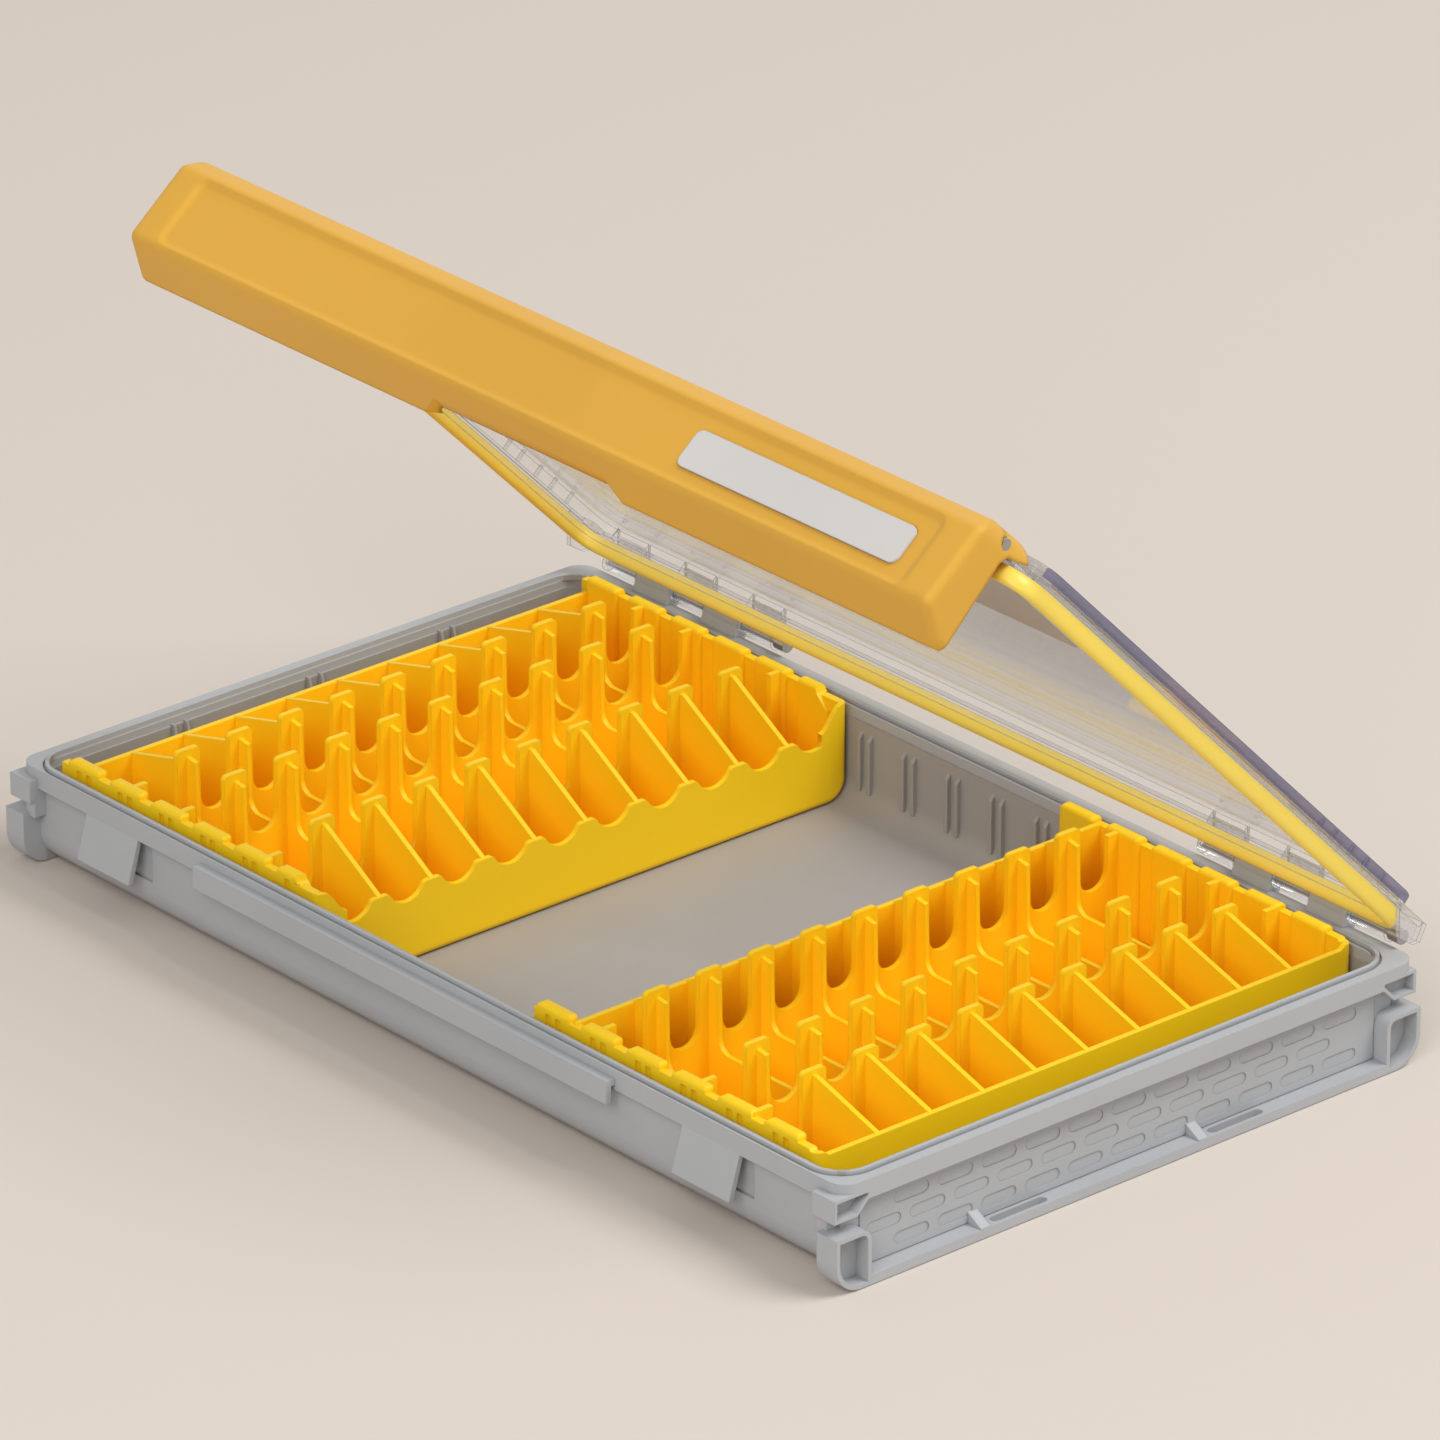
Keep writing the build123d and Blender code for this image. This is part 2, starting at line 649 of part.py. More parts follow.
def lid_panel():
    """Clear lid: top, skirt, flange, seal lip, hinge knuckles, latch lugs and ears."""
    depth = lid_rear_y - lid_front_y
    middle = (lid_rear_y + lid_front_y) / 2
    dome = Pos(0, middle, flange_bottom) * extrude(
        RectangleRounded(2 * lid_half_length, depth, lid_corner_radius), lid_top - flange_bottom)
    dome = fillet(dome.edges().group_by(Axis.Z)[-1], lid_wall / 2)
    hollow = Pos(0, middle, flange_bottom - 1) * extrude(
        RectangleRounded(2 * (lid_half_length - lid_wall), depth - 2 * lid_wall,
                         lid_corner_radius - lid_wall), lid_top - lid_wall - flange_bottom + 1)
    seal_inner_x = seal_half_length - seal_width
    seal_inner_y = seal_half_depth - seal_width
    ledge = Pos(0, (flange_front_y + flange_rear_y) / 2, flange_bottom) * extrude(
        RectangleRounded(2 * flange_half_length, flange_rear_y - flange_front_y, flange_corner_radius),
        flange_thickness)
    ledge -= block(-lid_half_length + lid_wall, lid_half_length - lid_wall, lid_front_y + lid_wall,
                   seal_inner_y - seal_lip_width, flange_bottom - 1, flange_top + 1)
    lid = (dome - hollow) + ledge
    lid += ring(seal_inner_x - 0.2, -seal_inner_y + 0.2, seal_inner_y - 0.2, seal_lip_width,
                seal_corner_radius - seal_width, flange_bottom - seal_lip_drop, flange_bottom + 0.5)
    cap_inner = latch_half_length - latch_cap_wall - cap_notch_gap
    for side in (-1, 1):
        lid -= block(side * cap_inner, side * (latch_half_length + cap_notch_gap),
                     flange_front_y - 1, lid_front_y, flange_bottom, lid_top + 1)
        lid += latch_lug(side)
        outer = side * (flange_half_length + 0.6)
        ear = shape((lid_rear_y - 12, flange_top), (lid_rear_y - 12, flange_bottom),
                    (lid_rear_y - 5, tub_height + ear_height_gap),
                    (lid_rear_y + 1, tub_height + ear_height_gap + 1.2),
                    (lid_rear_y + 3.2, hinge_z + 0.6), (lid_rear_y + 1.5, flange_top))
        lid += along_x(ear, outer - side * ear_thickness, outer)
        brace = block(side * (lid_half_length - 6), outer, lid_rear_y - 12, lid_rear_y + 1.2,
                      flange_bottom, flange_top)
        lid += brace
        for distance in lid_rib_distances:
            y = lid_rear_y - distance
            lid += block(side * (lid_half_length - 0.5), side * (lid_half_length + lid_rib_projection),
                         y - lid_rib_width / 2, y + lid_rib_width / 2, flange_top - 0.5,
                         lid_top - lid_wall / 2)
    for start in hinge_starts:
        for x0, x1 in knuckle_spans(start, 0):
            lid += lid_arm(x0, x1)
            for x in (x0, x1 - lid_gusset_width):
                gusset = shape((lid_rear_y - 0.5, flange_top - 0.5), (lid_rear_y - 0.5, lid_top - 1.0),
                               (lid_rear_y + 3.4, flange_top - 0.5))
                lid += along_x(gusset, x, x + lid_gusset_width)
    return lid


def lid_seal():
    """Gasket under the lid flange."""
    bottom = tub_height + tongue_height + seal_gap
    return ring(seal_half_length, -seal_half_depth, seal_half_depth, seal_width, seal_corner_radius,
                bottom, flange_bottom)


def moisture_plate():
    """Thin plate on the underside of the lid."""
    plate = extrude(RectangleRounded(moisture_plate_length, moisture_plate_depth,
                                     moisture_plate_radius), moisture_plate_thickness)
    top = lid_top - lid_wall
    return Pos(moisture_plate_x, moisture_plate_y, top - moisture_plate_thickness) * plate


def latch_outer_points():
    """Outside of the latch section, from the rear of its top to its toe."""
    return [(latch_rear_y, latch_top), (latch_shoulder_y, latch_top - latch_shoulder_drop),
            (latch_brow_y, latch_brow_z), (latch_crease_y, latch_crease_z), (latch_toe_y, latch_toe_z)]


def latch_cap_outline():
    """End cap of the latch, with the arch that clears the lid's seal."""
    outline = shape(*latch_outer_points(), (latch_cheek_y + 0.1, latch_toe_z + 0.6),
                    (latch_cheek_y, pin_z - 5.2), (latch_cheek_y + 1.6, pin_z - 2.4),
                    (latch_cheek_y + 5.6, pin_z - 1.8), (latch_rear_y + 2.2, pin_z - 0.4))
    return outline


def round_corners(outline, points, radius):
    """Fillet the outline's corners that lie at the given points."""
    chosen = [v for v in outline.vertices()
              if any(abs(v.X - y) < 0.01 and abs(v.Y - z) < 0.01 for y, z in points)]
    return fillet(chosen, radius)


def front_slope():
    """Tilt of the front of the latch from upright, as a unit step down it."""
    step = Vector(0, latch_crease_y - latch_brow_y, latch_crease_z - latch_brow_z)
    return step.normalized()


def front_plane(x, z, depth):
    """Plane that lies on the front of the latch at height z, sunk by depth."""
    down = front_slope()
    share = (latch_brow_z - z) / (latch_brow_z - latch_crease_z)
    y = latch_brow_y + share * (latch_crease_y - latch_brow_y)
    outward = Vector(0, down.Z, -down.Y)
    return Plane(origin=Vector(x, y, z) - outward * depth, x_dir=(1, 0, 0), z_dir=outward)


def latch_envelope():
    """Outer bounds of the latch, with its end edges and front corners rounded."""
    behind = latch_rear_y + latch_wall
    outline = shape(*latch_outer_points(), (behind, latch_toe_z), (behind, latch_top))
    outline = round_corners(outline, latch_outer_points()[1:4], latch_round)
    body = along_x(outline, -latch_half_length, latch_half_length)
    ends = [e for e in body.edges()
            if abs(abs(e.center().X) - latch_half_length) < 0.01 and e.center().Y < latch_toe_y]
    body = fillet(ends, latch_end_round)
    face = Rectangle(2 * latch_half_length, latch_top - latch_toe_z)
    face = Pos(0, (latch_top + latch_toe_z) / 2) * face
    upper = face.vertices().group_by(Axis.Y)[-1]
    face = fillet(upper, latch_top_corner)
    lower = face.vertices().group_by(Axis.Y)[0]
    face = fillet(lower, latch_toe_corner)
    return body & along_y(face, latch_crease_y - 1, behind + 1)


def latch_bar():
    """Full-width latch: a channel with closed ends, a thumb notch and an inner hook."""
    outer = shape(*latch_outer_points(), (latch_toe_y + 2, latch_toe_z + 2), (latch_rear_y, pin_z + 1.9))
    inner_points = [(latch_rear_y + 5, latch_top - latch_wall),
                    (latch_shoulder_y + 0.6, latch_top - latch_shoulder_drop - latch_wall),
                    (latch_brow_y + latch_wall, latch_brow_z - 0.9),
                    (latch_crease_y + latch_wall, latch_crease_z + 1.2),
                    (latch_toe_y + 0.4, latch_toe_z + latch_wall + 0.2), (latch_rear_y + 5, latch_toe_z)]
    inner = shape(*inner_points)
    cap_x = latch_half_length - latch_cap_wall
    bar = along_x(outer, -cap_x - 0.5, cap_x + 0.5) - along_x(inner, -cap_x - 1, cap_x + 1)
    for side in (-1, 1):
        bar += along_x(latch_cap_outline(), side * cap_x, side * latch_half_length)
    bar = bar & latch_envelope()
    bar -= panel_cut()
    bar -= thumb_notch()
    bar += latch_hook()
    for side in (-1, 1):
        bar -= rod(latch_pin_radius + running_clearance, side * (cap_x - 1),
                   side * (latch_half_length + 1), pin_y, pin_z)
        bar -= rod(lug_radius + lug_relief, side * (cap_x - lug_length - 2 * lug_end_gap),
                   side * cap_x, pin_y, pin_z)
    label_room = RectangleRounded(label_length + 2 * label_gap, label_height + 2 * label_gap,
                                  label_radius + label_gap)
    bar -= extrude(front_plane(label_x, label_z, panel_recess + label_sink) * label_room, latch_wall)
    return bar


def panel_cut():
    """Shallow recess over the front of the latch, with sloped edges."""
    height = latch_brow_z - latch_crease_z - 2 * panel_margin
    middle = (latch_brow_z + latch_crease_z) / 2
    cut = RectangleRounded(2 * (latch_half_length - panel_end_gap), height, panel_corner_radius)
    return extrude(front_plane(0, middle, panel_recess) * cut, latch_wall, taper=-panel_slope)


def thumb_notch():
    """Notch in the toe of the latch for a thumb."""
    top = latch_toe_z + notch_depth * 0.5
    notch = shape((-notch_half_length - notch_ramp, latch_toe_z - 1), (-notch_half_length, top),
                  (notch_half_length, top), (notch_half_length + notch_ramp, latch_toe_z - 1))
    return along_y(notch, latch_toe_y - notch_depth, latch_toe_y + 4)


def latch_hook():
    """Shelf inside the latch that catches under the lip of the closed tub."""
    top = catch_bottom - hook_gap
    tip = catch_front_y + hook_overlap
    shelf = block(-hook_half_length, hook_half_length, latch_crease_y + latch_wall * 2.2, tip,
                  top - hook_thickness, top)
    return shelf.rotate(pin_axis, -latch_ajar_angle)


def latch_pin(side):
    """Short pin through the end of the latch into the lid's lug."""
    outer = latch_half_length - 0.2
    inner = latch_half_length - latch_cap_wall - lug_end_gap - lug_length + 0.5
    return rod(latch_pin_radius, side * inner, side * outer, pin_y, pin_z)


def label_plate():
    """Blank plate on the front of the latch."""
    plate = RectangleRounded(label_length, label_height, label_radius)
    return extrude(front_plane(label_x, label_z, panel_recess + label_sink) * plate, label_thickness)


def opened(piece):
    """Swing a piece of the lid to the angle at which the lid stands."""
    return piece.rotate(hinge_axis, -lid_open_angle)


pieces = {
    "base_tub": base_tub(),
    "rack_left": left_rack(),
    "rack_right": right_rack(),
    "hinge_pin_left": hinge_pin(hinge_starts[0]),
    "hinge_pin_right": hinge_pin(hinge_starts[1]),
    "lid_panel": opened(lid_panel()),
    "lid_seal": opened(lid_seal()),
    "moisture_plate": opened(moisture_plate()),
    "latch_pin_left": opened(latch_pin(-1)),
    "latch_pin_right": opened(latch_pin(1)),
    "latch_bar": opened(latch_bar()),
    "label_plate": opened(label_plate()),
}

os.makedirs("parts", exist_ok=True)
for name, piece in pieces.items():
    solids = piece.solids()
    export_step(solids[0] if len(solids) == 1 else Compound(children=solids), f"parts/{name}.step")
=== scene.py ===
import json
import math

import bmesh
import bpy
from mathutils import Matrix, Vector


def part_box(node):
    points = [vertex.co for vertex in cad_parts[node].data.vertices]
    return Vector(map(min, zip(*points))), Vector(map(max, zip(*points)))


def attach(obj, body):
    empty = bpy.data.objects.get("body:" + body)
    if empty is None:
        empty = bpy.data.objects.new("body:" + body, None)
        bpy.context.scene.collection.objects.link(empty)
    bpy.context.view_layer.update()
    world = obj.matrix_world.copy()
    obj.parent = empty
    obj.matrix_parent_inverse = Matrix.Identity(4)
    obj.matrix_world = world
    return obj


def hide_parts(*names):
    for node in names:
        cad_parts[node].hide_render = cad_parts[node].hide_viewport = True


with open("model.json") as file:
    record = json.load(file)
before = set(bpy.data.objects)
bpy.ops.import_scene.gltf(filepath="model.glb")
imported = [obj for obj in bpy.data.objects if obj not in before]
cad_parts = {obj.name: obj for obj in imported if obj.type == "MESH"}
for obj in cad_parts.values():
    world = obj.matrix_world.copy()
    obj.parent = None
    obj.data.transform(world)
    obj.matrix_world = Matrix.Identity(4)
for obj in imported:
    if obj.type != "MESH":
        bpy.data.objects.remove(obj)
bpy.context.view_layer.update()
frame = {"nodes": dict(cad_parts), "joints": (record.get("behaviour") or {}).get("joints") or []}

# Camera, fitted to the photograph's 1440 pixel square
camera_azimuth = 49.03
camera_elevation = 24.84
camera_distance = 3.32011
camera_target = Vector((-0.09268, 0.08779, 0.015))
camera_lens = 284.69
sensor_width = 36.0

# Light
world_strength = 0.43
seen_strength = 0.95
world_tone = (1.0, 0.985, 0.965)
floor_tone = (0.685, 0.616, 0.552)

# The lid as it lies when closed
hinge = Vector(frame["joints"][0]["pos_m"])
lid_angle = math.radians(-frame["joints"][0]["range_deg"][0])
lid_open = Matrix.Translation(hinge) @ Matrix.Rotation(-lid_angle, 4, "X") @ Matrix.Translation(-hinge)

# Seal, as a bulb that is narrower than its bed
seal_bed = 0.0038
seal_width = 0.0023
seal_corner = 0.0085
seal_lift = 0.0009
seal_round = 0.0014

# End wall pattern
wall_x = 0.174
panel_half_length = 0.0949
panel_low = 0.0032
panel_high = 0.0249
panel_depth = 0.0003
pill_length = 0.0126
pill_height = 0.0037
pill_pitch = 0.0158
top_row = (0.0258, -0.0800)
pill_rows = ((0.0196, -0.0700), (0.0134, -0.0800), (0.0072, -0.0700))

# Half the clear width and depth inside the tub, which bound the painted shade there
inner_x = 0.1723
inner_y = 0.0998

# Corners where the racks' end plates meet their front walls
rack_corners = {"rack_left": (0.0254, 0.0110, 0.0078), "rack_right": (0.0316, 0.0042, 0.0020)}
corner_top = 0.03283
corner_radius = 0.0025
plate_thickness = 0.0026
wall_thickness = 0.0018
proud = 0.00003

# Right side wall of the lid, whose upper part gets painted shade
side_wall_band = (0.1701, 0.1722)
side_wall_low = 0.0413


def view_axes(azimuth, elevation):
    """Right, up and backward directions of a camera that looks at the object."""
    a, e = math.radians(azimuth), math.radians(elevation)
    back = Vector((math.cos(e) * math.sin(a), -math.cos(e) * math.cos(a), math.sin(e)))
    right = Vector((math.cos(a), math.sin(a), 0))
    return right, back.cross(right), back


def add_camera():
    """The photograph's viewpoint."""
    right, up, back = view_axes(camera_azimuth, camera_elevation)
    data = bpy.data.cameras.new("camera")
    data.lens = camera_lens
    data.sensor_width = sensor_width
    data.clip_end = 20.0
    camera = bpy.data.objects.new("camera", data)
    bpy.context.collection.objects.link(camera)
    turn = Matrix((right, up, back)).transposed().to_4x4()
    camera.matrix_world = Matrix.Translation(camera_target + back * camera_distance) @ turn
    bpy.context.scene.camera = camera


def add_area(name, place, aim, size, power, colour=(1, 1, 1)):
    """Soft area lamp that points at a spot."""
    data = bpy.data.lights.new(name, "AREA")
    data.shape = "DISK"
    data.size = size
    data.energy = power
    data.color = colour
    lamp = bpy.data.objects.new(name, data)
    bpy.context.collection.objects.link(lamp)
    lamp.location = place
    lamp.rotation_euler = (Vector(aim) - Vector(place)).to_track_quat("-Z", "Y").to_euler()
    return lamp


def add_mesh(name, points, faces, smooth=False):
    """Object from a list of points and a list of faces."""
    mesh = bpy.data.meshes.new(name)
    mesh.from_pydata(points, [], faces)
    work = bmesh.new()
    work.from_mesh(mesh)
    bmesh.ops.recalc_face_normals(work, faces=work.faces)
    work.to_mesh(mesh)
    work.free()
    for face in mesh.polygons:
        face.use_smooth = smooth
    thing = bpy.data.objects.new(name, mesh)
    bpy.context.collection.objects.link(thing)
    return thing


def new_material(name):
    """Empty node material with its output and shader."""
    material = bpy.data.materials.new(name)
    material.use_nodes = True
    nodes, links = material.node_tree.nodes, material.node_tree.links
    return material, nodes, links, nodes["Principled BSDF"]


def paint_shade_inside(nodes, links, place, base, tone):
    """Painted shade: darken and warm a colour where it lies between the inner walls of the tub, standing in for
    shade and warm bounced light there.
    """
    axes = nodes.new("ShaderNodeSeparateXYZ")
    links.new(place.outputs["Object"], axes.inputs["Vector"])
    within = []
    for axis, reach in (("X", inner_x), ("Y", inner_y)):
        size = nodes.new("ShaderNodeMath")
        size.operation = "ABSOLUTE"
        links.new(axes.outputs[axis], size.inputs[0])
        near = nodes.new("ShaderNodeMath")
        near.operation = "LESS_THAN"
        near.inputs[1].default_value = reach
        links.new(size.outputs["Value"], near.inputs[0])
        within.append(near)
    both = nodes.new("ShaderNodeMath")
    both.operation = "MULTIPLY"
    links.new(within[0].outputs["Value"], both.inputs[0])
    links.new(within[1].outputs["Value"], both.inputs[1])
    shaded_inside = nodes.new("ShaderNodeMix")
    shaded_inside.data_type = "RGBA"
    shaded_inside.blend_type = "MULTIPLY"
    shaded_inside.inputs["B"].default_value = (*tone, 1)
    links.new(both.outputs["Value"], shaded_inside.inputs["Factor"])
    links.new(base, shaded_inside.inputs["A"])
    return shaded_inside.outputs["Result"]


def moulded(name, colour, roughness, coarse=0.03, grain=0.15, edge=0.0004, crease=0.0, shine=0.4,
             inside=None):
    """Moulded plastic: slight mottling, fine grain, softened edges and painted shade in its creases."""
    material, nodes, links, shader = new_material(name)
    place = nodes.new("ShaderNodeTexCoord")
    clouds = nodes.new("ShaderNodeTexNoise")
    clouds.inputs["Scale"].default_value = 14.0
    clouds.inputs["Detail"].default_value = 3.0
    links.new(place.outputs["Object"], clouds.inputs["Vector"])
    tones = nodes.new("ShaderNodeValToRGB")
    dark = [c * (1 - coarse) for c in colour]
    light = [min(c * (1 + coarse), 1.0) for c in colour]
    tones.color_ramp.elements[0].position = 0.35
    tones.color_ramp.elements[1].position = 0.65
    tones.color_ramp.elements[0].color = (*dark, 1)
    tones.color_ramp.elements[1].color = (*light, 1)
    links.new(clouds.outputs["Fac"], tones.inputs["Fac"])
    base = tones.outputs["Color"]
    # Painted shade: ambient occlusion darkens the colour in creases, slots and narrow gaps
    if crease:
        nook = nodes.new("ShaderNodeAmbientOcclusion")
        nook.samples = 6
        nook.inputs["Distance"].default_value = 0.0012
        depth = nodes.new("ShaderNodeMapRange")
        depth.inputs["From Min"].default_value = 0.25
        depth.inputs["From Max"].default_value = 0.75
        depth.inputs["To Min"].default_value = crease
        depth.inputs["To Max"].default_value = 0.0
        links.new(nook.outputs["AO"], depth.inputs["Value"])
        shaded = nodes.new("ShaderNodeMix")
        shaded.data_type = "RGBA"
        shaded.blend_type = "MULTIPLY"
        shaded.inputs["B"].default_value = (0.12, 0.12, 0.12, 1)
        links.new(depth.outputs["Result"], shaded.inputs["Factor"])
        links.new(base, shaded.inputs["A"])
        base = shaded.outputs["Result"]
    # Painted shade, darker and warmer, between the tub's inner walls
    if inside:
        base = paint_shade_inside(nodes, links, place, base, inside)
    links.new(base, shader.inputs["Base Color"])
    shader.inputs["Specular IOR Level"].default_value = shine
    fine = nodes.new("ShaderNodeTexNoise")
    fine.inputs["Scale"].default_value = 900.0
    fine.inputs["Detail"].default_value = 2.0
    links.new(place.outputs["Object"], fine.inputs["Vector"])
    gloss = nodes.new("ShaderNodeMapRange")
    gloss.inputs["To Min"].default_value = roughness - 0.06
    gloss.inputs["To Max"].default_value = roughness + 0.06
    links.new(fine.outputs["Fac"], gloss.inputs["Value"])
    links.new(gloss.outputs["Result"], shader.inputs["Roughness"])
    soft = nodes.new("ShaderNodeBevel")
    soft.samples = 4
    soft.inputs["Radius"].default_value = edge
    bump = nodes.new("ShaderNodeBump")
    bump.inputs["Strength"].default_value = grain
    bump.inputs["Distance"].default_value = 0.00005
    links.new(fine.outputs["Fac"], bump.inputs["Height"])
    links.new(soft.outputs["Normal"], bump.inputs["Normal"])
    links.new(bump.outputs["Normal"], shader.inputs["Normal"])
    return material


def clear_plastic(name, tint, haze, side_shade_tone):
    """Thin clear plastic: it mirrors more at a slant, shows its edges as painted dark lines and has painted shade in
    one side wall.
    """
    material, nodes, links, shader = new_material(name)
    nodes.remove(shader)
    place = nodes.new("ShaderNodeTexCoord")
    flow = nodes.new("ShaderNodeTexNoise")
    flow.inputs["Scale"].default_value = 30.0
    links.new(place.outputs["Object"], flow.inputs["Vector"])
    ripple = nodes.new("ShaderNodeBump")
    ripple.inputs["Strength"].default_value = 0.06
    ripple.inputs["Distance"].default_value = 0.0003
    links.new(flow.outputs["Fac"], ripple.inputs["Height"])

    through = nodes.new("ShaderNodeBsdfTransparent")
    through.inputs["Color"].default_value = (*tint, 1)
    shade = nodes.new("ShaderNodeBsdfTransparent")
    shade.inputs["Color"].default_value = (0.94, 0.935, 0.93, 1)
    gloss = nodes.new("ShaderNodeBsdfAnisotropic")
    gloss.inputs["Color"].default_value = (0.9, 0.91, 0.93, 1)
    gloss.inputs["Roughness"].default_value = 0.05
    links.new(ripple.outputs["Normal"], gloss.inputs["Normal"])
    milk = nodes.new("ShaderNodeBsdfDiffuse")
    milk.inputs["Color"].default_value = (0.78, 0.79, 0.81, 1)

    slant = nodes.new("ShaderNodeFresnel")
    slant.inputs["IOR"].default_value = 1.35
    links.new(ripple.outputs["Normal"], slant.inputs["Normal"])
    share = nodes.new("ShaderNodeMath")
    share.operation = "MULTIPLY"
    share.inputs[1].default_value = 0.55
    links.new(slant.outputs["Fac"], share.inputs[0])
    sheet = nodes.new("ShaderNodeMixShader")
    links.new(share.outputs["Value"], sheet.inputs["Fac"])
    links.new(through.outputs["BSDF"], sheet.inputs[1])
    links.new(gloss.outputs["BSDF"], sheet.inputs[2])

    # Painted shade: dark lines along the edges stand in for the light that the plastic's edges bend away
    rounded = nodes.new("ShaderNodeBevel")
    rounded.samples = 8
    rounded.inputs["Radius"].default_value = 0.0006
    geometry = nodes.new("ShaderNodeNewGeometry")
    turn = nodes.new("ShaderNodeVectorMath")
    turn.operation = "DOT_PRODUCT"
    links.new(rounded.outputs["Normal"], turn.inputs[0])
    links.new(geometry.outputs["True Normal"], turn.inputs[1])
    edges = nodes.new("ShaderNodeMapRange")
    edges.inputs["From Min"].default_value = 0.97
    edges.inputs["From Max"].default_value = 0.80
    edges.inputs["To Min"].default_value = 0.0
    edges.inputs["To Max"].default_value = 0.75
    links.new(turn.outputs["Value"], edges.inputs["Value"])
    cloudy = nodes.new("ShaderNodeMixShader")
    cloudy.inputs["Fac"].default_value = haze
    links.new(sheet.outputs["Shader"], cloudy.inputs[1])
    links.new(milk.outputs["BSDF"], cloudy.inputs[2])
    line = nodes.new("ShaderNodeBsdfDiffuse")
    line.inputs["Color"].default_value = (0.24, 0.24, 0.27, 1)
    solid = nodes.new("ShaderNodeMixShader")
    links.new(edges.outputs["Result"], solid.inputs["Fac"])
    links.new(cloudy.outputs["Shader"], solid.inputs[1])
    links.new(line.outputs["BSDF"], solid.inputs[2])

    # Painted shade: the upper part of the lid's right side wall turns dark purple-grey
    across = nodes.new("ShaderNodeSeparateXYZ")
    links.new(place.outputs["Object"], across.inputs["Vector"])
    band = nodes.new("ShaderNodeValToRGB")
    band.color_ramp.interpolation = "CONSTANT"
    band.color_ramp.elements[0].color = (0, 0, 0, 1)
    band.color_ramp.elements[1].position = side_wall_band[0] * 5
    band.color_ramp.elements[1].color = (0.75, 0.75, 0.75, 1)
    after = band.color_ramp.elements.new(side_wall_band[1] * 5)
    after.color = (0, 0, 0, 1)
    widen = nodes.new("ShaderNodeMath")
    widen.operation = "MULTIPLY"
    widen.inputs[1].default_value = 5.0
    links.new(across.outputs["X"], widen.inputs[0])
    links.new(widen.outputs["Value"], band.inputs["Fac"])
    lid_up = lid_open.to_3x3() @ Vector((0, 0, 1))
    height = nodes.new("ShaderNodeVectorMath")
    height.operation = "DOT_PRODUCT"
    height.inputs[1].default_value = lid_up
    links.new(place.outputs["Object"], height.inputs[0])
    above = nodes.new("ShaderNodeMath")
    above.operation = "GREATER_THAN"
    above.inputs[1].default_value = side_wall_low + lid_up.dot(hinge) - hinge.z
    links.new(height.outputs["Value"], above.inputs[0])
    side_wall_shade_share = nodes.new("ShaderNodeMath")
    side_wall_shade_share.operation = "MULTIPLY"
    links.new(band.outputs["Color"], side_wall_shade_share.inputs[0])
    links.new(above.outputs["Value"], side_wall_shade_share.inputs[1])
    side_wall_shade = nodes.new("ShaderNodeBsdfDiffuse")
    side_wall_shade.inputs["Color"].default_value = (*side_shade_tone, 1)
    sided = nodes.new("ShaderNodeMixShader")
    links.new(side_wall_shade_share.outputs["Value"], sided.inputs["Fac"])
    links.new(solid.outputs["Shader"], sided.inputs[1])
    links.new(side_wall_shade.outputs["BSDF"], sided.inputs[2])

    path = nodes.new("ShaderNodeLightPath")
    lamps = nodes.new("ShaderNodeMixShader")
    links.new(path.outputs["Is Shadow Ray"], lamps.inputs["Fac"])
    links.new(sided.outputs["Shader"], lamps.inputs[1])
    links.new(shade.outputs["BSDF"], lamps.inputs[2])
    links.new(lamps.outputs["Shader"], nodes["Material Output"].inputs["Surface"])
    return material


def steel(name):
    """Drawn steel wire."""
    material, nodes, links, shader = new_material(name)
    shader.inputs["Metallic"].default_value = 1.0
    place = nodes.new("ShaderNodeTexCoord")
    lines = nodes.new("ShaderNodeTexNoise")
    lines.inputs["Scale"].default_value = 300.0
    links.new(place.outputs["Object"], lines.inputs["Vector"])
    tones = nodes.new("ShaderNodeValToRGB")
    tones.color_ramp.elements[0].color = (0.3, 0.3, 0.3, 1)
    tones.color_ramp.elements[1].color = (0.5, 0.5, 0.5, 1)
    links.new(lines.outputs["Fac"], tones.inputs["Fac"])
    links.new(tones.outputs["Color"], shader.inputs["Base Color"])
    shader.inputs["Roughness"].default_value = 0.35
    return material


def paint(thing, material):
    """Give an object its finish."""
    thing.data.materials.clear()
    thing.data.materials.append(material)


def add_floor():
    """Pale sheet that the box lies on."""
    bpy.ops.mesh.primitive_plane_add(size=12.0, location=(0, 0, -0.0002))
    floor = bpy.context.object
    floor.name = "floor"
    material, nodes, links, shader = new_material("floor")
    shader.inputs["Base Color"].default_value = (*floor_tone, 1)
    shader.inputs["Roughness"].default_value = 0.9
    shader.inputs["Specular IOR Level"].default_value = 0.1
    floor.data.materials.append(material)


